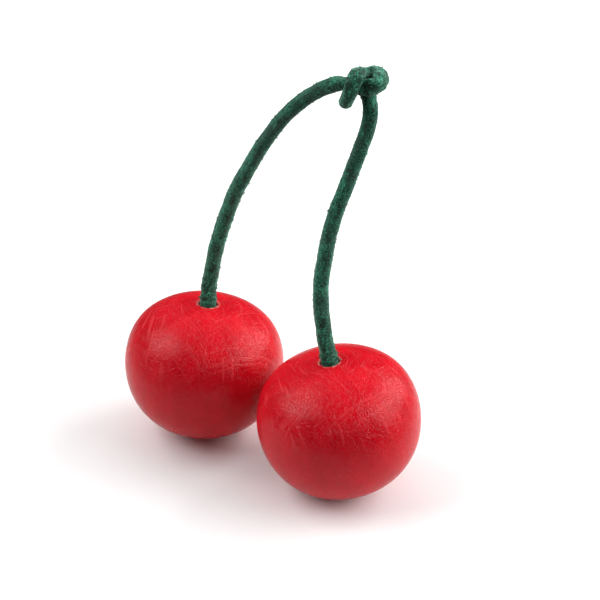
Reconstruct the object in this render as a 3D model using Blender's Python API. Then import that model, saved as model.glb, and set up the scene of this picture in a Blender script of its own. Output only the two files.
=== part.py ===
"""Wooden toy cherry pair: two turned fruits on leather cord stalks tied together in a half knot.

Metres, +Z up. The origin is the middle of the object's base, on the surface it stands on.
Seen along +Y, the right fruit stands in front and the left fruit behind it.
"""
import math

import bmesh
import bpy
from mathutils import Matrix, Vector
from mathutils.geometry import interpolate_bezier

MM = 0.001

# Turned outline. The reach from the fruit's middle, towards an angle a above its equator, is
# 1 + OVAL cos 2a + TAPER sin 3a + SHOULDER cos 4a, and all of it is then scaled to the fruit's radius.
FRUIT_RADIUS = 13.0 * MM
OVAL = 0.059
TAPER = 0.016
SHOULDER = -0.018
OUTLINE_STEPS = 28
TURNS = 56

# Drilled hole for the stalk, with a rounded mouth and a drill point at its end
HOLE_RADIUS = 1.55 * MM
HOLE_DEPTH = 9.0 * MM
DRILL_POINT = 0.9 * MM
MOUTH_ROUND = 0.35 * MM
MOUTH_STEPS = 3

# Standing flat: how much is sanded off under each fruit, so that it stands with its lean
FLAT_DEPTH = 0.3 * MM

# Where each fruit stands, and which way its drilled axis leans
RIGHT_FRUIT_PLACE = (10.97 * MM, -8.15 * MM)
RIGHT_FRUIT_LEAN = Vector((-0.142, 0.031, 0.989)).normalized()
LEFT_FRUIT_PLACE = (-10.97 * MM, 8.15 * MM)
LEFT_FRUIT_LEAN = Vector((0.075, 0.083, 0.994)).normalized()

# Leather cord: round, and squeezed thinner where the half knot is pulled tight
CORD_RADIUS = 1.2 * MM
KNOT_CORD_RADIUS = 0.95 * MM
CORD_END_GAP = 0.4 * MM
STRAIGHT_OUT = 1.2 * MM
CORD_SIDES_SETTING = 3
POINTS_PER_STRETCH = 3

# Left stalk, from above its fruit, over to the right, into the knot: under the right stalk's end,
# in front of the right stalk, then round it to a cut end at the back
LEFT_ROUTE = (
    (-9.9, 9.7, 25.8),
    (-9.4, 9.8, 28.5),
    (-8.7, 9.6, 32.4),
    (-7.7, 9.1, 36.4),
    (-6.5, 8.3, 40.5),
    (-5.1, 7.2, 44.8),
    (-3.3, 5.9, 49.0),
    (-1.4, 4.5, 53.3),
    (0.8, 3.0, 57.5),
    (2.9, 1.7, 60.9),
    (5.2, 0.5, 63.7),
    (7.4, -0.8, 65.9),
    (9.3, -2.0, 67.4),
    (11.0, -2.9, 68.2),
    (12.4, -3.8, 68.3),
    (13.6, -4.5, 68.3),
    (14.7, -5.1, 68.5),
    (15.8, -5.1, 68.7),
    (16.5, -4.3, 69.1),
    (16.6, -3.0, 69.3),
    (16.1, -1.3, 69.0),
    (15.4, -0.2, 68.4),
    (14.6, 1.0, 67.6),
)
LEFT_KNOT_START = 14

# Right stalk, from above its fruit, up into the knot: behind the left stalk, over it, and down in
# front of it to a cut end
RIGHT_ROUTE = (
    (8.8, -7.4, 25.3),
    (8.4, -6.9, 28.1),
    (8.0, -6.4, 32.0),
    (8.0, -6.0, 36.0),
    (8.5, -5.7, 39.7),
    (9.2, -5.4, 44.0),
    (10.3, -5.2, 48.2),
    (11.5, -5.0, 51.6),
    (12.6, -4.8, 54.9),
    (13.8, -4.6, 58.5),
    (14.7, -4.3, 61.3),
    (15.1, -4.0, 63.7),
    (15.1, -3.7, 65.3),
    (14.7, -3.1, 66.6),
    (14.4, -2.4, 67.6),
    (14.1, -2.2, 68.8),
    (13.5, -3.3, 70.2),
    (12.8, -5.2, 70.3),
    (12.4, -6.0, 69.4),
    (11.9, -5.9, 67.9),
    (11.4, -4.9, 66.0),
)
RIGHT_KNOT_START = 13


def clear_scene():
    """Remove every object, so that the model is built from an empty scene."""
    for old_object in list(bpy.data.objects):
        bpy.data.objects.remove(old_object, do_unlink=True)


def simple_material(name, colour, roughness):
    """A plain finish with the piece's own colour and gloss."""
    material = bpy.data.materials.new(name)
    material.use_nodes = True
    shader = material.node_tree.nodes["Principled BSDF"]
    shader.inputs["Base Color"].default_value = (*colour, 1.0)
    shader.inputs["Roughness"].default_value = roughness
    shader.inputs["Metallic"].default_value = 0.0
    return material


def stained_wood():
    """Beech stained cherry red under a thin satin lacquer."""
    return simple_material("stained_wood", (0.62, 0.008, 0.02), 0.38)


def dyed_leather():
    """Round leather cord, dyed dark green."""
    return simple_material("dyed_leather", (0.012, 0.11, 0.06), 0.85)


def outline_point(angle):
    """Distance from the axis, and height, of the turned outline where it faces this angle."""
    double, triple, fourfold = 2 * angle, 3 * angle, 4 * angle
    reach = 1.0 + OVAL * math.cos(double) + TAPER * math.sin(triple) + SHOULDER * math.cos(fourfold)
    slope = -2 * OVAL * math.sin(double) + 3 * TAPER * math.cos(triple) - 4 * SHOULDER * math.sin(fourfold)
    out = reach * math.cos(angle) - slope * math.sin(angle)
    height = reach * math.sin(angle) + slope * math.cos(angle)
    return out, height


def fruit_outline():
    """The outer outline at full size, from the bottom pole up to the edge of the hole's mouth."""
    angles = [math.radians(-90 + 180 * step / OUTLINE_STEPS) for step in range(OUTLINE_STEPS + 1)]
    points = [outline_point(angle) for angle in angles]
    scale = FRUIT_RADIUS / max(out for out, height in points)
    mouth_edge = HOLE_RADIUS + MOUTH_ROUND
    outer = [(out * scale, height * scale) for out, height in points[1:] if out * scale > mouth_edge]
    bottom = (0.0, points[0][1] * scale)
    return [bottom] + outer


def cap_height():
    """Height of the hole's mouth above the fruit's middle."""
    return fruit_outline()[-1][1]


def hole_outline():
    """The hole's outline, from its rounded mouth down to the drill point on the axis."""
    centre_out = HOLE_RADIUS + MOUTH_ROUND
    centre_height = cap_height() - MOUTH_ROUND
    points = []
    for step in range(MOUTH_STEPS + 1):
        turn = math.radians(90 + 90 * step / MOUTH_STEPS)
        out = centre_out + MOUTH_ROUND * math.cos(turn)
        height = centre_height + MOUTH_ROUND * math.sin(turn)
        points.append((out, height))
    floor = cap_height() - HOLE_DEPTH
    points.append((HOLE_RADIUS, floor))
    points.append((0.0, floor - DRILL_POINT))
    return points


def turned_mesh(outline):
    """Turn an outline that starts and ends on the axis into one closed mesh."""
    mesh = bmesh.new()
    rings = []
    for out, height in outline[1:-1]:
        ring = []
        for turn in range(TURNS):
            angle = 2 * math.pi * turn / TURNS
            ring.append(mesh.verts.new((out * math.cos(angle), out * math.sin(angle), height)))
        rings.append(ring)
    first = mesh.verts.new((0.0, 0.0, outline[0][1]))
    last = mesh.verts.new((0.0, 0.0, outline[-1][1]))
    for turn in range(TURNS):
        following = (turn + 1) % TURNS
        mesh.faces.new((first, rings[0][following], rings[0][turn]))
        mesh.faces.new((last, rings[-1][turn], rings[-1][following]))
        for lower, upper in zip(rings, rings[1:]):
            mesh.faces.new((lower[turn], lower[following], upper[following], upper[turn]))
    return mesh


def fruit_placement(place, lean):
    """Turn the drilled axis to its lean, and stand the fruit with its flat at height zero."""
    turned = Vector((0.0, 0.0, 1.0)).rotation_difference(lean).to_matrix().to_4x4()
    mesh = turned_mesh(fruit_outline() + hole_outline())
    lowest = min((turned @ vertex.co).z for vertex in mesh.verts)
    mesh.free()
    return Matrix.Translation((place[0], place[1], -lowest - FLAT_DEPTH)) @ turned


def make_fruit(name, place, lean, material):
    """One turned fruit: a solid of revolution with a blind hole, flat where it stands."""
    placement = fruit_placement(place, lean)
    to_local = placement.inverted()
    mesh = turned_mesh(fruit_outline() + hole_outline())
    cut = bmesh.ops.bisect_plane(
        mesh,
        geom=mesh.verts[:] + mesh.edges[:] + mesh.faces[:],
        dist=0.001 * MM,
        plane_co=to_local @ Vector((0.0, 0.0, 0.0)),
        plane_no=to_local.to_3x3() @ Vector((0.0, 0.0, 1.0)),
        clear_inner=True,
    )
    rim = [item for item in cut["geom_cut"] if isinstance(item, bmesh.types.BMEdge)]
    bmesh.ops.contextual_create(mesh, geom=rim)
    bmesh.ops.recalc_face_normals(mesh, faces=mesh.faces[:])
    data = bpy.data.meshes.new(name)
    mesh.to_mesh(data)
    mesh.free()
    data.shade_smooth()
    data.set_sharp_from_angle(angle=math.radians(35))
    data.materials.append(material)
    fruit = bpy.data.objects.new(name, data)
    fruit.matrix_world = placement
    bpy.context.scene.collection.objects.link(fruit)
    return fruit


def smooth_curve(knots):
    """Points along one smooth curve through the given points."""
    tangents = []
    for index, here in enumerate(knots):
        before = knots[max(index - 1, 0)]
        after = knots[min(index + 1, len(knots) - 1)]
        tangents.append((after - before).normalized())
    points = []
    for index in range(len(knots) - 1):
        start, end = knots[index], knots[index + 1]
        third = (end - start).length / 3
        handle_out = start + tangents[index] * third
        handle_in = end - tangents[index + 1] * third
        stretch = interpolate_bezier(start, handle_out, handle_in, end, POINTS_PER_STRETCH + 1)
        points.extend(stretch[:-1])
    points.append(knots[-1])
    return points


def make_stalk(name, route, knot_start, place, lean, material):
    """One leather cord: straight out of its hole, along its route, and thinner from knot_start on."""
    placement = fruit_placement(place, lean)
    floor = placement @ Vector((0.0, 0.0, cap_height() - HOLE_DEPTH))
    mouth = placement @ Vector((0.0, 0.0, cap_height()))
    knots = [floor + lean * CORD_END_GAP, mouth, mouth + lean * STRAIGHT_OUT]
    bends_from = len(knots)
    knots += [Vector(point) * MM for point in route]
    points = smooth_curve(knots)
    knot_from = (bends_from + knot_start) * POINTS_PER_STRETCH

    curve = bpy.data.curves.new(name, "CURVE")
    curve.dimensions = "3D"
    curve.bevel_depth = CORD_RADIUS
    curve.bevel_resolution = CORD_SIDES_SETTING
    curve.use_fill_caps = True
    spline = curve.splines.new("POLY")
    spline.points.add(len(points) - 1)
    for index, point in enumerate(points):
        spline.points[index].co = (*point, 1.0)
        into_knot = min(max((index - knot_from) / (2 * POINTS_PER_STRETCH) + 1.0, 0.0), 1.0)
        radius = CORD_RADIUS + (KNOT_CORD_RADIUS - CORD_RADIUS) * into_knot
        spline.points[index].radius = radius / CORD_RADIUS
    curve.materials.append(material)
    stalk = bpy.data.objects.new(name, curve)
    bpy.context.scene.collection.objects.link(stalk)
    return stalk


clear_scene()
wood = stained_wood()
leather = dyed_leather()
make_fruit("right_cherry", RIGHT_FRUIT_PLACE, RIGHT_FRUIT_LEAN, wood)
make_fruit("left_cherry", LEFT_FRUIT_PLACE, LEFT_FRUIT_LEAN, wood)
make_stalk("right_stalk", RIGHT_ROUTE, RIGHT_KNOT_START, RIGHT_FRUIT_PLACE, RIGHT_FRUIT_LEAN, leather)
make_stalk("left_stalk", LEFT_ROUTE, LEFT_KNOT_START, LEFT_FRUIT_PLACE, LEFT_FRUIT_LEAN, leather)
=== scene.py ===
"""Wooden toy cherry pair: the looks of its two lacquered fruits and its two knotted leather cords.

Metres, +Z up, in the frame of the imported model, which stands on z = 0.
"""
import math

import bmesh
import bpy
import numpy as np
from mathutils import Matrix, Vector, noise
from mathutils.geometry import interpolate_bezier


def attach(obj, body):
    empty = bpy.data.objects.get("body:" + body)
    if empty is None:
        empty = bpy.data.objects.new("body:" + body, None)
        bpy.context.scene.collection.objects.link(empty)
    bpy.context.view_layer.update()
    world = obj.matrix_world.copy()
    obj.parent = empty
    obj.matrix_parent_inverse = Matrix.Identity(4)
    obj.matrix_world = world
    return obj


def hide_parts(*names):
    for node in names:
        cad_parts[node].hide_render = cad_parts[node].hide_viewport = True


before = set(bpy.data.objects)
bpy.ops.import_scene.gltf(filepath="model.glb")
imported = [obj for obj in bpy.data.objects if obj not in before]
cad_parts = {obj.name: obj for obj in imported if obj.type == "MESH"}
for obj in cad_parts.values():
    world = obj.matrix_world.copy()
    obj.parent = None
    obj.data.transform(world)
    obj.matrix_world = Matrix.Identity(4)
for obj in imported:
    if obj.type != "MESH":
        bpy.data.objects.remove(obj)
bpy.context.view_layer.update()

# ---------------------------------------------------------------------------------------------
# Studio: a long lens looks down on the pair from the front, over a white board. A large soft box
# stands on the right and a smaller one on the left. A third, above and behind, only fills in.
# ---------------------------------------------------------------------------------------------
MM = 0.001
LENS_MM = 132.7
SENSOR_MM = 36.0
LOOK_DOWN = math.radians(32.0)
CAMERA_DISTANCE = 345.5 * MM
NEAR_CLIP = 10.0 * MM
AIM_POINT = Vector((4.76, -1.25, 29.73)) * MM

RIGHT_BOX_WAY = Vector((0.86, 0.12, 0.50))
RIGHT_BOX_SIZE = (0.76, 0.44)
RIGHT_BOX_GLOW = 5.2
LEFT_BOX_WAY = Vector((-0.73, 0.03, 0.69))
LEFT_BOX_SIZE = (0.50, 0.42)
LEFT_BOX_GLOW = 4.2
TOP_BOX_WAY = Vector((0.0, 0.55, 0.83))
TOP_BOX_SIZE = (0.90, 0.90)
TOP_BOX_GLOW = 1.1
BOX_AIM = Vector((0.0, 0.0, 20.0)) * MM
BOX_DISTANCE = 0.55
ROOM_GLOW = 0.04

scene = bpy.context.scene
scene.view_settings.view_transform = "Standard"

camera_data = bpy.data.cameras.new("camera")
camera_data.sensor_width = SENSOR_MM
camera_data.lens = LENS_MM
camera_data.clip_start = NEAR_CLIP
camera = bpy.data.objects.new("camera", camera_data)
scene.collection.objects.link(camera)
backwards = Vector((0.0, -math.cos(LOOK_DOWN), math.sin(LOOK_DOWN)))
camera.location = AIM_POINT + backwards * CAMERA_DISTANCE
camera.rotation_euler = (math.radians(90.0) - LOOK_DOWN, 0.0, 0.0)
scene.camera = camera


def soft_box(name, way, size, glow):
    """A rectangular soft box that shines at the pair from this way with this brightness."""
    data = bpy.data.lights.new(name, "AREA")
    data.shape = "RECTANGLE"
    data.size, data.size_y = size
    data.energy = glow * math.pi * size[0] * size[1]
    box = bpy.data.objects.new(name, data)
    box.location = BOX_AIM + way.normalized() * BOX_DISTANCE
    box.rotation_euler = way.to_track_quat("Z", "Y").to_euler()
    scene.collection.objects.link(box)
    return box


soft_box("right_soft_box", RIGHT_BOX_WAY, RIGHT_BOX_SIZE, RIGHT_BOX_GLOW)
soft_box("left_soft_box", LEFT_BOX_WAY, LEFT_BOX_SIZE, LEFT_BOX_GLOW)
top_box = soft_box("top_soft_box", TOP_BOX_WAY, TOP_BOX_SIZE, TOP_BOX_GLOW)
top_box.visible_glossy = False


class Shade:
    """A material's socket. Arithmetic on it adds Math nodes, and node() adds any other kind."""

    def __init__(self, tree, socket=None):
        self.tree = tree
        self.socket = socket

    def node(self, kind, values, output=0, stops=(), **settings):
        """A node of this kind: its settings and ramp stops first, then its sockets' values or links."""
        made = self.tree.nodes.new(kind)
        for name, setting in settings.items():
            setattr(made, name, setting)
        if stops:
            ramp = made.color_ramp
            while len(ramp.elements) < len(stops):
                ramp.elements.new(1.0)
            for element, (place, colour) in zip(ramp.elements, stops):
                element.position = place
                element.color = (*colour, 1.0)
        for place, value in values.items():
            if isinstance(value, Shade):
                self.tree.links.new(value.socket, made.inputs[place])
            else:
                made.inputs[place].default_value = value
        return Shade(self.tree, made.outputs[output])

    def math(self, operation, *others):
        return self.node("ShaderNodeMath", dict(enumerate((self, *others))), operation=operation)

    def __add__(self, other):
        return self.math("ADD", other)

    __radd__ = __add__

    def __sub__(self, other):
        return self.math("SUBTRACT", other)

    def __rsub__(self, other):
        return self.node("ShaderNodeMath", {0: other, 1: self}, operation="SUBTRACT")

    def __mul__(self, other):
        return self.math("MULTIPLY", other)

    __rmul__ = __mul__

    def __truediv__(self, other):
        return self.math("DIVIDE", other)

    def between(self, low, high):
        """0 below low, 1 above high, and smooth between them."""
        values = {0: self, 1: low, 2: high}
        return self.node("ShaderNodeMapRange", values, interpolation_type="SMOOTHSTEP")

    def grain(self, scale, detail=2.0, output=0):
        """Noise about 0.5, where self is the place and scale is in lumps to one unit of it."""
        values = {"Vector": self, "Scale": scale, "Detail": detail, "Roughness": 0.55}
        return self.node("ShaderNodeTexNoise", values, output=output)

    def stretched(self, x, y, z):
        """The place with each direction scaled by its own number."""
        values = {0: self, 1: (x, y, z)}
        return self.node("ShaderNodeVectorMath", values, operation="MULTIPLY")

    def marks(self, fineness, levels, detail):
        """0 to 1 as noise rises through these levels, where fineness is in lumps to a unit each way."""
        return self.stretched(*fineness).grain(1.0, detail).between(*levels)

    def part(self, axis):
        """One of a place's three numbers."""
        return self.node("ShaderNodeSeparateXYZ", {0: self}, output=axis)

    def blended(self, first, second):
        """A colour from first to second, where self is the share of the second."""
        return self.node("ShaderNodeMix", {0: self, 6: first, 7: second}, output=2, data_type="RGBA")

    def bumped(self):
        """The direction a relief makes the skin seem to face, where self is its height in millimetres."""
        return self.node("ShaderNodeBump", {"Height": self, "Distance": MM, "Strength": 1.0})


def new_material(name):
    """An empty material with its Principled shader, ready for its nodes."""
    material = bpy.data.materials.new(name)
    material.use_nodes = True
    shader = material.node_tree.nodes["Principled BSDF"]
    return material, shader, Shade(material.node_tree)


def connect(value, shader, socket):
    """Feeds a worked-out value to one of a shader's sockets."""
    value.tree.links.new(value.socket, shader.inputs[socket])


WHITE = (1.0, 1.0, 1.0, 1.0)
BLACK = (0.0, 0.0, 0.0, 1.0)

# White board. The camera sees it bright all over, and the pair gets light back from its near part only.
BOARD_SIDE = 6.0
BOARD_WHITE = (0.86, 0.86, 0.86, 1.0)
BOARD_BOUNCE = (0.76, 0.73, 0.73, 1.0)
BOARD_FAR = (0.05, 0.05, 0.05, 1.0)
BOUNCE_ENDS = (0.030, 0.095)
GLOW_STARTS = (0.12, 0.40)
GLOW = 0.6
FLECKS = {"fineness": (9.0, 9.0, 9.0), "levels": (0.3, 0.7), "detail": 2.0}
FLECK_SHARE = 0.05
BOARD_ROUGHNESS = 0.6

bpy.ops.object.select_all(action="DESELECT")
bpy.ops.mesh.primitive_plane_add(size=BOARD_SIDE)
board = bpy.context.object
board.name = "table"
board_white, board_shader, shade = new_material("white_board")
seen = shade.node("ShaderNodeLightPath", {})
place = shade.node("ShaderNodeTexCoord", {}, output=3)
distance = shade.node("ShaderNodeVectorMath", {0: place}, output=1, operation="LENGTH")
looks = (place.marks(**FLECKS) * FLECK_SHARE).blended(BOARD_WHITE, WHITE)
bounce = distance.between(*BOUNCE_ENDS).blended(BOARD_BOUNCE, BOARD_FAR)
connect(seen.blended(bounce, looks), board_shader, "Base Color")
far_glow = seen * distance.between(*GLOW_STARTS)
connect(far_glow.blended(BLACK, WHITE), board_shader, "Emission Color")
board_shader.inputs["Emission Strength"].default_value = GLOW
board_shader.inputs["Roughness"].default_value = BOARD_ROUGHNESS
board_shader.inputs["Specular IOR Level"].default_value = 0.0
board.data.materials.append(board_white)

# The room is dark to the pair and white to the camera
world = bpy.data.worlds.new("room")
world.use_nodes = True
scene.world = world
room = Shade(world.node_tree)
seen = room.node("ShaderNodeLightPath", {})
background = world.node_tree.nodes["Background"]
background.inputs["Color"].default_value = WHITE
room_strength = seen.blended((ROOM_GLOW, ROOM_GLOW, ROOM_GLOW, 1.0), WHITE)
connect(room_strength, background, "Strength")


# ---------------------------------------------------------------------------------------------
# Fruits: two balls turned from a beech dowel, drilled from the top for the stalk, sanded flat
# below so that they stand with a lean, dipped in cherry red stain and sprayed with satin lacquer.
# ---------------------------------------------------------------------------------------------
FRUIT_RADIUS = 13.0 * MM
OVAL = 0.059
TAPER = 0.016
SHOULDER = -0.018
OUTLINE_STEPS = 150
TURNS = 256
HOLE_RADIUS = 1.40 * MM
HOLE_DEPTH = 9.0 * MM
DRILL_POINT = 0.9 * MM
MOUTH_ROUND = 0.30 * MM
MOUTH_STEPS = 8
FLAT_DEPTH = 0.3 * MM
WELD = 0.001 * MM
SMOOTH_UNDER = math.radians(35.0)

RIGHT_FRUIT_PLACE = Vector((10.97, -8.15, 0.0)) * MM
RIGHT_FRUIT_LEAN = Vector((-0.142, 0.031, 0.989)).normalized()
LEFT_FRUIT_PLACE = Vector((-10.97, 8.15, 0.0)) * MM
LEFT_FRUIT_LEAN = Vector((0.075, 0.083, 0.994)).normalized()


def outline_point(angle):
    """Distance from the axis, and height, of the turned outline where it faces this angle."""
    double, triple, fourfold = 2 * angle, 3 * angle, 4 * angle
    reach = 1.0 + OVAL * math.cos(double) + TAPER * math.sin(triple) + SHOULDER * math.cos(fourfold)
    slope = -2 * OVAL * math.sin(double) + 3 * TAPER * math.cos(triple) - 4 * SHOULDER * math.sin(fourfold)
    out = reach * math.cos(angle) - slope * math.sin(angle)
    height = reach * math.sin(angle) + slope * math.cos(angle)
    return out, height


def outer_outline():
    """The outline at full size, from the bottom pole up to the edge of the hole's mouth."""
    angles = [math.radians(-90 + 180 * step / OUTLINE_STEPS) for step in range(OUTLINE_STEPS + 1)]
    points = [outline_point(angle) for angle in angles]
    scale = FRUIT_RADIUS / max(out for out, height in points)
    mouth_edge = HOLE_RADIUS + MOUTH_ROUND
    outer = [(out * scale, height * scale) for out, height in points[1:] if out * scale > mouth_edge]
    return [(0.0, points[0][1] * scale)] + outer


CAP_HEIGHT = outer_outline()[-1][1]


def hole_outline():
    """From the hole's rounded mouth down its wall to the drill point on the axis."""
    centre_out = HOLE_RADIUS + MOUTH_ROUND
    points = []
    for step in range(MOUTH_STEPS + 1):
        turn = math.radians(90 + 90 * step / MOUTH_STEPS)
        height = CAP_HEIGHT - MOUTH_ROUND + MOUTH_ROUND * math.sin(turn)
        points.append((centre_out + MOUTH_ROUND * math.cos(turn), height))
    floor = CAP_HEIGHT - HOLE_DEPTH
    return points + [(HOLE_RADIUS, floor), (0.0, floor - DRILL_POINT)]


def fruit_placement(place, lean):
    """Leans the turned axis, and sinks the fruit by the depth of its sanded flat."""
    turned = Vector((0.0, 0.0, 1.0)).rotation_difference(lean).to_matrix().to_4x4()
    sideways = math.sqrt(1.0 - lean.z ** 2)
    lowest = min(height * lean.z - out * sideways for out, height in outer_outline())
    return Matrix.Translation((place.x, place.y, -lowest - FLAT_DEPTH)) @ turned


def turn_fruit(name, place, lean):
    """Spins the outline round the axis, leans it and sands its flat."""
    outline = outer_outline() + hole_outline()
    data = bpy.data.meshes.new(name)
    corners = [(out, 0.0, height) for out, height in outline]
    data.from_pydata(corners, [(index, index + 1) for index in range(len(corners) - 1)], [])
    fruit = bpy.data.objects.new(name, data)
    scene.collection.objects.link(fruit)
    bpy.ops.object.select_all(action="DESELECT")
    fruit.select_set(True)
    bpy.context.view_layer.objects.active = fruit
    bpy.ops.object.mode_set(mode="EDIT")
    bpy.ops.mesh.select_all(action="SELECT")
    bpy.ops.mesh.spin(steps=TURNS, angle=2 * math.pi, center=(0, 0, 0), axis=(0, 0, 1))
    bpy.ops.mesh.select_all(action="SELECT")
    bpy.ops.mesh.remove_doubles(threshold=WELD)
    bpy.ops.object.mode_set(mode="OBJECT")
    data.transform(fruit_placement(place, lean))
    bpy.ops.object.mode_set(mode="EDIT")
    bpy.ops.mesh.select_all(action="SELECT")
    ground = {"plane_co": (0, 0, 0), "plane_no": (0, 0, 1)}
    bpy.ops.mesh.bisect(**ground, use_fill=True, clear_inner=True, threshold=WELD)
    bpy.ops.mesh.select_all(action="SELECT")
    bpy.ops.mesh.normals_make_consistent(inside=False)
    bpy.ops.object.mode_set(mode="OBJECT")
    bpy.ops.object.shade_smooth_by_angle(angle=SMOOTH_UNDER)
    return fruit


STAIN = (0.65, 0.0008, 0.0105, 1.0)
DEEP_STAIN = (0.53, 0.0005, 0.0080, 1.0)
# Raised grain: a lighter, pinker red, partly the grain's own colour and partly a painted glint where ridges
# catch the light
RAISED_GRAIN_AND_GLINT = (0.80, 0.060, 0.070, 1.0)
BARE_WOOD = (0.80, 0.42, 0.34, 1.0)
# Painted shade: a deep red for the hole's wall, standing in for the shade in the gap round the cord
HOLE_WALL_SHADE = (0.30, 0.02, 0.02, 1.0)

# Marks in the wood, in lumps to a millimetre. Rings and rays: outward from the pith, round it, up the
# trunk. Turning marks: down from the top, then round. Scratches: along, then across.
RINGS = {"fineness": (2.4, 0.07, 0.10), "levels": (0.60, 0.70), "detail": 0.0}
RING_PATCHES = {"fineness": (0.13, 0.13, 0.13), "levels": (0.40, 0.60), "detail": 1.0}
RAYS = {"fineness": (0.16, 2.6, 0.20), "levels": (0.62, 0.72), "detail": 0.0}
RAY_PATCHES = {"fineness": (0.11, 0.11, 0.143), "levels": (0.40, 0.58), "detail": 1.0}
TURNING_MARKS = {"fineness": (2.1, 1.5, 1.0), "levels": (0.58, 0.68), "detail": 1.0}
SCRATCHES = {"fineness": (0.11, 6.5, 1.0), "levels": (0.70, 0.77), "detail": 0.0}
UNEVEN_STAIN = {"fineness": (0.35, 0.35, 0.1225), "levels": (0.25, 0.75), "detail": 3.0}
WORN_PATCHES = {"fineness": (2.2, 2.2, 2.2), "levels": (0.38, 0.60), "detail": 2.0}
PORES_PER_MM = (4.6, 4.6, 0.8)
PORE_LEVELS = (0.50, 0.74)
CRACKLE_PER_MM = 3.0
CELLS_PER_MM = 1.7
CELL_BENDS_PER_MM = 0.9
CRAZE_EDGES = (0.0, 0.12)
TURNING_LINES_PER_MM = (3.0, 3.0, 0.05)

# Where the marks lie, in millimetres: heights above the fruit's middle, and distances along its skin
WANDER = 0.9
WANDERS_PER_MM = 0.16
PITH_TO_SKIN = 12.0
END_GRAIN_HEIGHTS = (0.0, 6.0)
TURNING_MARKS_FADE = (5.0, 9.0)
SCRATCH_LAYERS_APART = 7.3
LIP_OUT = HOLE_RADIUS / MM + 0.32
LIP_WIDTH = 0.30
LIP_HEIGHTS = (CAP_HEIGHT / MM - 1.2, CAP_HEIGHT / MM - 0.5)
WALL_RADII = (HOLE_RADIUS / MM, HOLE_RADIUS / MM + 0.1)
WALL_HEIGHTS = (0.5, 1.5)

# How much of its colour each kind of mark gives
RING_SHARE = 0.55
TURNING_SHARE = 0.8
SCRATCH_SHARE = 0.55
LINE_SHARE = 0.48
PORE_SHARE = 0.05
CRAZE_SHARE = 0.05
LIP_SHARE = 0.75
WALL_SHADE_SHARE = 0.5

# Heights of the lacquer's relief, in millimetres, and its gloss
CRACKLE_RELIEF = 0.026
PORE_RELIEF = 0.026
TURNING_RELIEF = 0.012
LINE_RELIEF = 0.034
CRAZE_DEPTH = 0.034
LACQUER_ROUGHNESS = 0.22
CRACKLE_ROUGHNESS = 0.10
LINE_GLOSS = 0.05
STAIN_ROUGHNESS = 0.10
LACQUER_SPECULAR = 0.22


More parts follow.
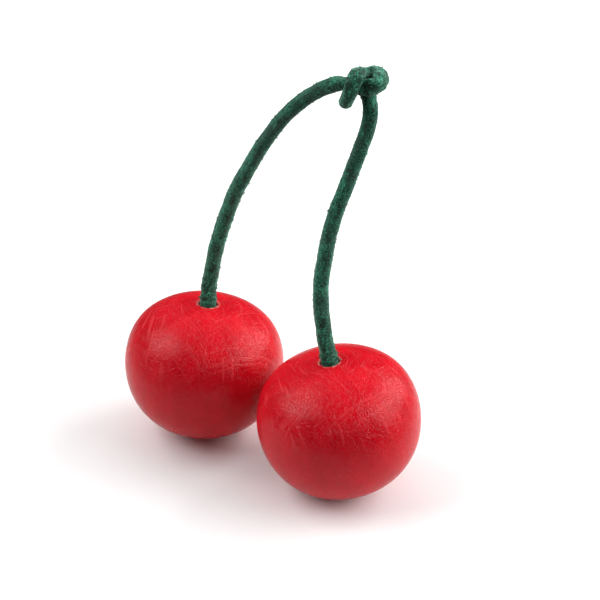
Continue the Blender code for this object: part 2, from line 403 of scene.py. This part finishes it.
def stained_beech(name, placement, pith, scratch_turns, seed):
    """Red stained beech under satin lacquer. pith is where the log's middle lies, seen from the top."""
    material, shader, shade = new_material(name)
    values = {"Location": placement.to_translation(), "Rotation": placement.to_euler(), "Scale": (MM, MM, MM)}
    values["Vector"] = shade.node("ShaderNodeTexCoord", {}, output=3)
    place = shade.node("ShaderNodeMapping", values, vector_type="TEXTURE")
    side, depth, height = (place.part(axis) for axis in range(3))
    from_axis = (side * side + depth * depth).math("SQRT")

    # Place in the log: how far out from the pith, how far round it, and up along the trunk
    from_pith = shade.node("ShaderNodeVectorMath", {0: place, 1: (*pith, 0.0)}, operation="SUBTRACT")
    wander = place.grain(WANDERS_PER_MM, detail=1.0, output=1)
    wander = shade.node("ShaderNodeVectorMath", {0: wander, 1: (0.5, 0.5, 0.5)}, operation="SUBTRACT")
    wander = wander.stretched(WANDER, WANDER, WANDER)
    from_pith = shade.node("ShaderNodeVectorMath", {0: from_pith, 1: wander}, operation="ADD")
    across, back, up = (from_pith.part(axis) for axis in range(3))
    outward = (across * across + back * back).math("SQRT")
    round_pith = back.math("ARCTAN2", across) * PITH_TO_SKIN
    log_place = shade.node("ShaderNodeCombineXYZ", {0: outward, 1: round_pith, 2: up})

    # The skin laid out flat round the hole: distance down from the top, in the same direction
    down = from_axis.math("ARCTAN2", height) * (FRUIT_RADIUS / MM)
    skin_side = side / from_axis * down
    skin_depth = depth / from_axis * down
    skin = shade.node("ShaderNodeCombineXYZ", {0: skin_side, 1: skin_depth, 2: seed})

    # Growth rings and rays show as thin light lines, in patches, on the end grain above. Their lightness is
    # partly the grain's own colour and partly a painted glint.
    end_grain = height.between(*END_GRAIN_HEIGHTS)
    rings = log_place.marks(**RINGS) * place.marks(**RING_PATCHES) * RING_SHARE
    rays = log_place.marks(**RAYS) * place.marks(**RAY_PATCHES)
    lines = rings.math("MAXIMUM", rays) * end_grain

    # Turning marks run round the hole
    turned = shade.node("ShaderNodeCombineXYZ", {0: down, 1: side / from_axis, 2: seed})
    turned = turned.marks(**TURNING_MARKS) * (1.0 - down.between(*TURNING_MARKS_FADE))
    lines = lines.math("MAXIMUM", turned * TURNING_SHARE)

    # Long sanding scratches cross each other
    for number, scratch_turn in enumerate(scratch_turns):
        values = {"Vector": skin, "Location": (0, 0, SCRATCH_LAYERS_APART * number)}
        values["Rotation"] = (0, 0, -math.radians(scratch_turn))
        streak = shade.node("ShaderNodeMapping", values, vector_type="POINT").marks(**SCRATCHES)
        lines = lines.math("MAXIMUM", streak * end_grain * SCRATCH_SHARE)

    # Pores run up the trunk: dashes on the sides, dots on the end grain. The lacquer crazes in cells.
    pores = place.stretched(*PORES_PER_MM).grain(1.0)
    crackle = place.grain(CRACKLE_PER_MM, detail=3.0)
    bent = place.grain(CELL_BENDS_PER_MM, detail=1.0, output=1)
    bent = shade.node("ShaderNodeVectorMath", {0: place, 1: bent}, operation="ADD")
    cells = {"Vector": bent, "Scale": CELLS_PER_MM}
    cells = shade.node("ShaderNodeTexVoronoi", cells, feature="DISTANCE_TO_EDGE")
    crazing = 1.0 - cells.between(*CRAZE_EDGES)
    turning_lines = shade.node("ShaderNodeCombineXYZ", {0: from_axis, 1: height, 2: side})
    turning_lines = turning_lines.stretched(*TURNING_LINES_PER_MM).grain(1.0, detail=1.0)

    # Colour: stain that took unevenly, lighter on raised grain (partly its own colour, partly a painted
    # glint), worn to bare wood at the hole's lip
    uneven = place.marks(**UNEVEN_STAIN)
    colour = uneven.blended(DEEP_STAIN, STAIN)
    # Pores, craze lines and grain marks lighten towards this colour: partly the wood's own tone, partly a
    # painted glint
    colour = (pores.between(*PORE_LEVELS) * PORE_SHARE).blended(colour, RAISED_GRAIN_AND_GLINT)
    colour = (crazing * CRAZE_SHARE).blended(colour, RAISED_GRAIN_AND_GLINT)
    colour = (lines * LINE_SHARE).blended(colour, RAISED_GRAIN_AND_GLINT)
    lip = 1.0 - (from_axis - LIP_OUT).math("ABSOLUTE").between(0.0, LIP_WIDTH)
    worn = lip * place.marks(**WORN_PATCHES) * height.between(*LIP_HEIGHTS)
    colour = (worn * LIP_SHARE).blended(colour, BARE_WOOD)
    # Painted shade: the wall of the hole is darkened, as the gap round the cord lies in shade
    inside = (1.0 - from_axis.between(*WALL_RADII)) * height.between(*WALL_HEIGHTS)
    colour = (inside * WALL_SHADE_SHARE).blended(colour, HOLE_WALL_SHADE)
    connect(colour, shader, "Base Color")

    rough = LACQUER_ROUGHNESS + CRACKLE_ROUGHNESS * (crackle - 0.5)
    rough = rough - LINE_GLOSS * lines + STAIN_ROUGHNESS * (uneven - 0.5)
    connect(rough, shader, "Roughness")
    shader.inputs["Specular IOR Level"].default_value = LACQUER_SPECULAR

    relief = crackle * CRACKLE_RELIEF + pores * PORE_RELIEF + turning_lines * TURNING_RELIEF
    relief = relief + lines * LINE_RELIEF - crazing * CRAZE_DEPTH
    connect(relief.bumped(), shader, "Normal")
    return material


right_cherry = turn_fruit("right_fruit_turned", RIGHT_FRUIT_PLACE, RIGHT_FRUIT_LEAN)
right_placement = fruit_placement(RIGHT_FRUIT_PLACE, RIGHT_FRUIT_LEAN)
right_cherry.data.materials.append(stained_beech(
    "right_stained_beech", right_placement, (-10.0, 11.5), (-62.0, -50.0), 2.0
))

left_cherry = turn_fruit("left_fruit_turned", LEFT_FRUIT_PLACE, LEFT_FRUIT_LEAN)
left_placement = fruit_placement(LEFT_FRUIT_PLACE, LEFT_FRUIT_LEAN)
left_cherry.data.materials.append(stained_beech(
    "left_stained_beech", left_placement, (-6.0, 12.0), (40.0, -47.0, -57.0), 31.0
))

for fruit, node in ((right_cherry, "right_cherry"), (left_cherry, "left_cherry")):
    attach(fruit, "root")
    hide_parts(node)


# ---------------------------------------------------------------------------------------------
# Stalks: two lengths of round leather cord, dyed green right through and matt like suede. Each is
# glued in its fruit, and the two are tied together in one half knot and cut off close to it.
# ---------------------------------------------------------------------------------------------
LEFT_ROUTE = (
    (-9.9, 9.7, 25.8),
    (-9.4, 9.8, 28.5),
    (-8.7, 9.6, 32.4),
    (-7.7, 9.1, 36.4),
    (-6.5, 8.3, 40.5),
    (-5.1, 7.2, 44.8),
    (-3.3, 5.9, 49.0),
    (-1.4, 4.5, 53.3),
    (0.8, 3.0, 57.5),
    (2.9, 1.7, 60.9),
    (5.2, 0.5, 63.7),
    (7.4, -0.8, 65.9),
    (9.3, -2.0, 67.4),
    (11.0, -2.9, 68.2),
    (12.4, -3.8, 68.3),
    (13.6, -4.5, 68.3),
    (14.7, -5.1, 68.5),
    (15.8, -5.1, 68.7),
    (16.5, -4.3, 69.1),
    (16.6, -3.0, 69.3),
    (16.1, -1.3, 69.0),
    (15.4, -0.2, 68.4),
    (14.6, 1.0, 67.6),
)
RIGHT_ROUTE = (
    (8.8, -7.4, 25.3),
    (8.4, -6.9, 28.1),
    (8.0, -6.4, 32.0),
    (8.0, -6.0, 36.0),
    (8.5, -5.7, 39.7),
    (9.2, -5.4, 44.0),
    (10.3, -5.2, 48.2),
    (11.5, -5.0, 51.6),
    (12.6, -4.8, 54.9),
    (13.8, -4.6, 58.5),
    (14.7, -4.3, 61.3),
    (15.1, -4.0, 63.7),
    (15.1, -3.7, 65.3),
    (14.7, -3.1, 66.6),
    (14.4, -2.4, 67.6),
    (14.1, -2.2, 68.8),
    (13.5, -3.3, 70.2),
    (12.8, -5.2, 70.3),
    (12.4, -6.0, 69.4),
    (11.9, -5.9, 67.9),
    (11.4, -4.9, 66.0),
)
CORD_END_GAP = 0.4 * MM
STRAIGHT_OUT = 1.2 * MM
POINTS_PER_STRETCH = 12
RING_STEP = 0.15 * MM
CORD_SIDES = 48
CUT_ROUND = 0.10 * MM
CUT_STEPS = 4
SHARP_OVER = math.radians(60.0)

# Distance along each cord, and its radius there, in millimetres: stretched thinner along its run
LEFT_GIRTH = (
    (0, 1.16), (8.5, 1.33), (11, 1.24), (20, 1.24), (32, 1.23), (45, 1.14),
    (60, 1.13), (64, 1.12), (68, 1.22), (72, 1.22), (76, 1.15),
)
RIGHT_GIRTH = (
    (0, 1.16), (8.5, 1.33), (12, 1.24), (28, 1.21), (45, 1.15),
    (53, 1.15), (58, 1.08), (62, 1.06), (66, 1.05),
)


def cord_line(route, placement, lean):
    """Evenly spaced points along a cord's middle, from the bottom of its hole to its cut end."""
    floor = placement @ Vector((0.0, 0.0, CAP_HEIGHT - HOLE_DEPTH))
    mouth = placement @ Vector((0.0, 0.0, CAP_HEIGHT))
    guides = [floor + lean * CORD_END_GAP, mouth, mouth + lean * STRAIGHT_OUT]
    guides += [Vector(point) * MM for point in route]
    tangents = []
    for index in range(len(guides)):
        before = guides[max(index - 1, 0)]
        after = guides[min(index + 1, len(guides) - 1)]
        tangents.append((after - before).normalized())
    points = []
    for index in range(len(guides) - 1):
        start, end = guides[index], guides[index + 1]
        third = (end - start).length / 3
        handle_out = start + tangents[index] * third
        handle_in = end - tangents[index + 1] * third
        points.extend(interpolate_bezier(start, handle_out, handle_in, end, POINTS_PER_STRETCH + 1)[:-1])
    points.append(guides[-1])
    line = np.array(points)
    steps = np.linalg.norm(np.diff(line, axis=0), axis=1)
    along = np.concatenate([[0.0], np.cumsum(steps)])
    stations = np.linspace(0.0, along[-1], int(along[-1] / RING_STEP) + 1)
    even = np.stack([np.interp(stations, along, line[:, axis]) for axis in range(3)], axis=1)
    return even, stations


def ring_ways(line):
    """For each point of a cord, two directions across it that turn as little as they can."""
    tangents = np.gradient(line, axis=0)
    tangents /= np.linalg.norm(tangents, axis=1)[:, None]
    first = np.cross(tangents[0], (0.0, 1.0, 0.0))
    first /= np.linalg.norm(first)
    firsts = []
    for tangent in tangents:
        first = first - tangent * np.dot(first, tangent)
        first /= np.linalg.norm(first)
        firsts.append(first)
    firsts = np.array(firsts)
    return firsts, np.cross(tangents, firsts), tangents


CONTACT_GAP = 0.02 * MM
CONTACT_SOFTNESS = 0.06 * MM
SELF_APART = 4.0 * MM
INNER_BEND_LIMIT = 0.80
BEND_THINNER = 0.30
BEND_WIDER = 0.16
BEND_EASY = 0.12
BEND_TIGHT = 0.50
KNOT_BOTTOM = 62.0 * MM


def nearest(points, line):
    """For each point, the index of the nearest point of the line."""
    return np.array([np.argmin(((line - point) ** 2).sum(axis=1)) for point in points])


def nearest_far_part(points, homes, line, stations):
    """The same on the cord's own line, leaving out the stretch on either side of the point's own ring."""
    found = []
    for point, home in zip(points, homes):
        distance = ((line - point) ** 2).sum(axis=1)
        distance[np.abs(stations - stations[home]) < SELF_APART] = np.inf
        found.append(np.argmin(distance))
    return np.array(found)


def pressed(points, middle, radius, other_middle, other_radius):
    """Moves points back to their own side of the plane where two round cords meet and flatten."""
    across = middle - other_middle
    spread = np.linalg.norm(across, axis=1)
    across = across / spread[:, None]
    meeting = other_middle + across * (spread * other_radius / (other_radius + radius))[:, None]
    depth = ((points - meeting) * across).sum(axis=1)
    softened = CONTACT_SOFTNESS * np.logaddexp(0.0, (depth - CONTACT_GAP) / CONTACT_SOFTNESS)
    return points + across * (CONTACT_GAP + softened - depth)[:, None]


# Fineness is in lumps to a millimetre, across the cord and along it
LUMP_HEIGHT = 0.050 * MM
LUMP_FINENESS = (0.8, 0.45)
NAP_HEIGHT = 0.035 * MM
NAP_FINENESS = (2.6, 2.2)
NAP_OCTAVES = 3
CREASE_HEIGHT = 0.10 * MM
CREASE_FINENESS = (2.1, 0.5)
CREASE_RISE = 3.0 * MM


def cord_rings(line, stations, radius, seed):
    """The rings of a cord: round, with lumps, nap and, in the knot, creases along the cord."""
    first, second, tangent = ring_ways(line)
    bend = np.gradient(tangent, axis=0) / np.linalg.norm(np.gradient(line, axis=0), axis=1)[:, None]
    sharpness = np.linalg.norm(bend, axis=1)
    angles = 2 * np.pi * np.arange(CORD_SIDES) / CORD_SIDES
    rings, places = [], []
    for index, middle in enumerate(line):
        outward = np.outer(np.cos(angles), first[index]) + np.outer(np.sin(angles), second[index])
        straight = (np.cos(angles) * radius[index], np.sin(angles) * radius[index])
        straight = np.stack([*straight, np.full(CORD_SIDES, stations[index])], axis=1) / MM
        swell = []
        creased = CREASE_HEIGHT * min(max((middle[2] - KNOT_BOTTOM) / CREASE_RISE, 0.0), 1.0)
        for x, y, z in straight:
            across, along = LUMP_FINENESS
            lump = noise.noise(Vector((x * across + seed, y * across, z * along)))
            across, along = NAP_FINENESS
            nap = noise.fractal(Vector((x * across + seed, y * across, z * along)), 1.0, 2.0, NAP_OCTAVES)
            across, along = CREASE_FINENESS
            crease = noise.noise(Vector((x * across, y * across + seed, z * along)))
            swell.append(lump * LUMP_HEIGHT + nap * NAP_HEIGHT + crease * creased)
        offset = outward * (radius[index] + np.array(swell))[:, None]
        # A tight bend flattens its outside, and its inside is squashed instead of folding through itself
        tightness = sharpness[index] * radius[index]
        if tightness > BEND_EASY:
            inward = bend[index] / sharpness[index]
            sideways = np.cross(tangent[index], inward)
            flattening = min((tightness - BEND_EASY) / (BEND_TIGHT - BEND_EASY), 1.0)
            offset -= np.outer(np.minimum(offset @ inward, 0.0), inward) * BEND_THINNER * flattening
            offset += np.outer(offset @ sideways, sideways) * BEND_WIDER * flattening
            limit = INNER_BEND_LIMIT / sharpness[index]
            reach = offset @ inward
            kept = limit - CONTACT_SOFTNESS * np.logaddexp(0.0, (limit - reach) / CONTACT_SOFTNESS)
            offset += np.outer(np.where(reach > 0, kept - reach, 0.0), inward)
        rings.append(middle + offset)
        places.append(straight)
    return np.array(rings), np.array(places), tangent


def make_cord(name, line, stations, radius, other_line, other_radius, seed):
    """One cord as a closed tube, pressed flat where it meets the other cord or itself."""
    rings, places, tangent = cord_rings(line, stations, radius, seed)
    in_knot = np.nonzero(line[:, 2] > KNOT_BOTTOM)[0]
    points = rings[in_knot].reshape(-1, 3)
    homes = np.repeat(in_knot, CORD_SIDES)
    own, other = nearest(points, line), nearest(points, other_line)
    points = pressed(points, line[own], radius[own], other_line[other], other_radius[other])
    far = nearest_far_part(points, homes, line, stations)
    points = pressed(points, line[homes], radius[homes], line[far], radius[far])
    rings[in_knot] = points.reshape(-1, CORD_SIDES, 3)

    # Cut ends: the last rings draw in to a small round edge, and a fan closes each end
    start_rings, end_rings = [], []
    for step in range(1, CUT_STEPS + 1):
        turn = math.radians(90 * step / CUT_STEPS)
        inset = CUT_ROUND * (1 - math.cos(turn))
        forward = CUT_ROUND * math.sin(turn)
        for found, index, way in ((start_rings, 0, -1), (end_rings, -1, 1)):
            shrink = 1.0 - inset / radius[index]
            drawn_in = line[index] + (rings[index] - line[index]) * shrink
            found.append(drawn_in + tangent[index] * forward * way)
    all_rings = start_rings[::-1] + list(rings) + end_rings
    all_places = [places[0]] * CUT_STEPS + list(places) + [places[-1]] * CUT_STEPS

    mesh = bmesh.new()
    straight_layer = mesh.verts.layers.float_vector.new("straight_place")
    made = []
    for ring, straight in zip(all_rings, all_places):
        row = []
        for corner, spot in zip(ring, straight):
            vertex = mesh.verts.new(corner)
            vertex[straight_layer] = spot
            row.append(vertex)
        made.append(row)
    for lower, upper in zip(made, made[1:]):
        for side in range(CORD_SIDES):
            following = (side + 1) % CORD_SIDES
            mesh.faces.new((lower[side], lower[following], upper[following], upper[side]))
    for row, ring, spot in ((made[0], all_rings[0], 0.0), (made[-1], all_rings[-1], stations[-1] / MM)):
        pole = mesh.verts.new(np.mean(ring, axis=0))
        pole[straight_layer] = (0.0, 0.0, spot)
        for side in range(CORD_SIDES):
            mesh.faces.new((pole, row[side], row[(side + 1) % CORD_SIDES]))
    bmesh.ops.recalc_face_normals(mesh, faces=mesh.faces[:])
    data = bpy.data.meshes.new(name)
    mesh.to_mesh(data)
    mesh.free()
    data.shade_smooth()
    data.set_sharp_from_angle(angle=SHARP_OVER)
    cord = bpy.data.objects.new(name, data)
    scene.collection.objects.link(cord)
    return cord, rings


left_line, left_stations = cord_line(LEFT_ROUTE, left_placement, LEFT_FRUIT_LEAN)
right_line, right_stations = cord_line(RIGHT_ROUTE, right_placement, RIGHT_FRUIT_LEAN)
left_radius = np.interp(left_stations / MM, *zip(*LEFT_GIRTH)) * MM
right_radius = np.interp(right_stations / MM, *zip(*RIGHT_GIRTH)) * MM
left_cord, left_rings = make_cord(
    "left_cord", left_line, left_stations, left_radius, right_line, right_radius, 3.0
)
right_cord, right_rings = make_cord(
    "right_cord", right_line, right_stations, right_radius, left_line, left_radius, 47.0
)

DYE_TONES = (
    (0.00, (0.007, 0.022, 0.017)),
    (0.33, (0.009, 0.076, 0.043)),
    (0.66, (0.013, 0.150, 0.084)),
    (1.00, (0.070, 0.390, 0.250)),
)
DYE_GREY = (0.036, 0.060, 0.048, 1.0)
UNDYED = (0.22, 0.18, 0.14, 1.0)
COARSE_PER_MM = (0.9, 0.9, 0.54)
COARSE_PART = 0.34
FINE_PER_MM = 4.4
TONE_LEVELS = (0.36, 0.67)
FADED = {"fineness": (0.55, 0.55, 0.1925), "levels": (0.48, 0.66), "detail": 2.0}
FADED_SHARE = 0.4
SPECKS = {"fineness": (5.0, 5.0, 5.0), "levels": (0.80, 0.84), "detail": 0.0}
SPECK_SHARE = 0.7
TONE_RELIEF = 0.07
PILE_RELIEF = 0.04
PILE_PER_MM = 9.0
SUEDE_ROUGHNESS = 0.80
FINE_ROUGHNESS = 0.15
SUEDE_SPECULAR = 0.25
SHEEN = 0.80
SHEEN_ROUGHNESS = 0.42
SHEEN_TINT = (0.45, 0.85, 0.68, 1.0)


def dyed_leather(name):
    """Green suede-like leather: uneven dye, dark pits, light nap, grey worn parts, a few undyed specks."""
    material, shader, shade = new_material(name)
    place = shade.node("ShaderNodeAttribute", {}, output=1, attribute_name="straight_place")
    coarse = place.stretched(*COARSE_PER_MM).grain(1.0)
    fine = place.grain(FINE_PER_MM)
    tone = (coarse * COARSE_PART + fine * (1.0 - COARSE_PART)).between(*TONE_LEVELS)
    colour = shade.node("ShaderNodeValToRGB", {0: tone}, stops=DYE_TONES)
    colour = (place.marks(**FADED) * FADED_SHARE).blended(colour, DYE_GREY)
    colour = (place.marks(**SPECKS) * SPECK_SHARE).blended(colour, UNDYED)
    connect(colour, shader, "Base Color")
    connect(SUEDE_ROUGHNESS + FINE_ROUGHNESS * (fine - 0.5), shader, "Roughness")
    shader.inputs["Specular IOR Level"].default_value = SUEDE_SPECULAR
    shader.inputs["Sheen Weight"].default_value = SHEEN
    shader.inputs["Sheen Roughness"].default_value = SHEEN_ROUGHNESS
    shader.inputs["Sheen Tint"].default_value = SHEEN_TINT
    relief = tone * TONE_RELIEF + place.grain(PILE_PER_MM, detail=1.0) * PILE_RELIEF
    connect(relief.bumped(), shader, "Normal")
    return material


leather = dyed_leather("green_leather")
for cord, node in ((left_cord, "left_stalk"), (right_cord, "right_stalk")):
    cord.data.materials.append(leather)
    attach(cord, "root")
    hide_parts(node)


# ---------------------------------------------------------------------------------------------
# Nap: short leather fibres that stand off the cords in small tufts. They are part of the leather,
# roughed up by handling, and thickest where each cord was pushed into its hole.
# ---------------------------------------------------------------------------------------------
TUFTS_PER_MM = 7.0
FIBRES_IN_TUFT = 5
TUFT_SPREAD = 0.05 * MM
FIBRE_LENGTH = (0.15 * MM, 0.45 * MM)
FIBRE_THICKNESS = (0.022 * MM, 0.050 * MM)
FOOT_TUFTS = 26
FOOT_FIBRE_LENGTH = 0.55 * MM
FOOT_STRETCH = 1.3 * MM
FIBRE_SIDES = 3
FIBRE_ROOT = 0.03 * MM
FIBRE_TAPER = ((0.0, 1.0), (0.5, 0.75))
SHORTEST_IN_TUFT = 0.5
TUFT_LEAN = 0.6
TUFT_SPLAY = 0.3
FIBRE_SPLAY = 0.35
FIBRE_DROOP = 0.8


def make_nap(name, line, stations, rings, tangents, random):
    """Tufts of tapered, bent fibres planted on a cord's skin, as one mesh."""
    mouth = HOLE_DEPTH - CORD_END_GAP
    count = int((stations[-1] - mouth) / MM * TUFTS_PER_MM)
    spots = list(random.uniform(mouth, stations[-1], count))
    spots += list(mouth + random.uniform(0.0, FOOT_STRETCH, FOOT_TUFTS))
    corners, faces = [], []
    for number in range(len(spots) * FIBRES_IN_TUFT):
        tuft, fibre = divmod(number, FIBRES_IN_TUFT)
        if fibre == 0:
            index = min(int(spots[tuft] / RING_STEP), len(line) - 2)
            planted = rings[index][random.integers(CORD_SIDES)]
            out = planted - line[index]
            out /= np.linalg.norm(out)
            tuft_lean = tangents[index] * random.normal(0.0, TUFT_LEAN) + random.normal(0.0, TUFT_SPLAY, 3)
            longest = random.uniform(*FIBRE_LENGTH)
            if tuft >= count:
                longest = random.uniform(FIBRE_LENGTH[1], FOOT_FIBRE_LENGTH)
        root = planted + np.cross(random.normal(0.0, TUFT_SPREAD, 3), out)
        way = out + tuft_lean + random.normal(0.0, FIBRE_SPLAY, 3)
        way /= np.linalg.norm(way)
        droop = random.normal(0.0, FIBRE_DROOP, 3)
        length = longest * random.uniform(SHORTEST_IN_TUFT, 1.0)
        thickness = random.uniform(*FIBRE_THICKNESS)
        across = np.cross(way, tangents[index])
        across /= np.linalg.norm(across)
        beside = np.cross(way, across)
        first = len(corners)
        for share, width in FIBRE_TAPER:
            middle = root - out * FIBRE_ROOT + way * length * share + droop * length * share ** 2 * 0.5
            for turn in range(FIBRE_SIDES):
                angle = 2 * math.pi * turn / FIBRE_SIDES
                ring = across * math.cos(angle) + beside * math.sin(angle)
                corners.append(middle + ring * thickness * width)
        corners.append(root + way * length + droop * length * 0.5)
        for turn in range(FIBRE_SIDES):
            following = (turn + 1) % FIBRE_SIDES
            lower, upper, tip = first, first + FIBRE_SIDES, first + 2 * FIBRE_SIDES
            faces.append((lower + turn, lower + following, upper + following, upper + turn))
            faces.append((upper + turn, upper + following, tip))
        faces.append(tuple(first + turn for turn in reversed(range(FIBRE_SIDES))))
    data = bpy.data.meshes.new(name)
    data.from_pydata([tuple(corner) for corner in corners], [], faces)
    data.shade_smooth()
    nap = bpy.data.objects.new(name, data)
    scene.collection.objects.link(nap)
    bpy.ops.object.select_all(action="DESELECT")
    nap.select_set(True)
    bpy.context.view_layer.objects.active = nap
    bpy.ops.object.mode_set(mode="EDIT")
    bpy.ops.mesh.select_all(action="SELECT")
    bpy.ops.mesh.normals_make_consistent(inside=False)
    bpy.ops.object.mode_set(mode="OBJECT")
    return nap


FIBRE_DARK = (0.010, 0.070, 0.045, 1.0)
FIBRE_LIGHT = (0.050, 0.260, 0.170, 1.0)
FIBRE_TONES = {"fineness": (2.0 / MM, 2.0 / MM, 2.0 / MM), "levels": (0.35, 0.70), "detail": 1.0}
FIBRE_ROUGHNESS = 0.75
LIGHT_ROUGHNESS = 0.1
FIBRE_SPECULAR = 0.2


def fibre_leather():
    """The same dye on loose fibres, lighter on some of them."""
    material, shader, shade = new_material("green_leather_fibres")
    tone = shade.node("ShaderNodeTexCoord", {}, output=3).marks(**FIBRE_TONES)
    connect(tone.blended(FIBRE_DARK, FIBRE_LIGHT), shader, "Base Color")
    connect(FIBRE_ROUGHNESS + LIGHT_ROUGHNESS * tone, shader, "Roughness")
    shader.inputs["Specular IOR Level"].default_value = FIBRE_SPECULAR
    return material


fibre_material = fibre_leather()
for name, line, stations, rings, seed in (
    ("left_cord_nap", left_line, left_stations, left_rings, 5),
    ("right_cord_nap", right_line, right_stations, right_rings, 11),
):
    nap = make_nap(name, line, stations, rings, ring_ways(line)[2], np.random.default_rng(seed))
    nap.data.materials.append(fibre_material)
    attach(nap, "root")
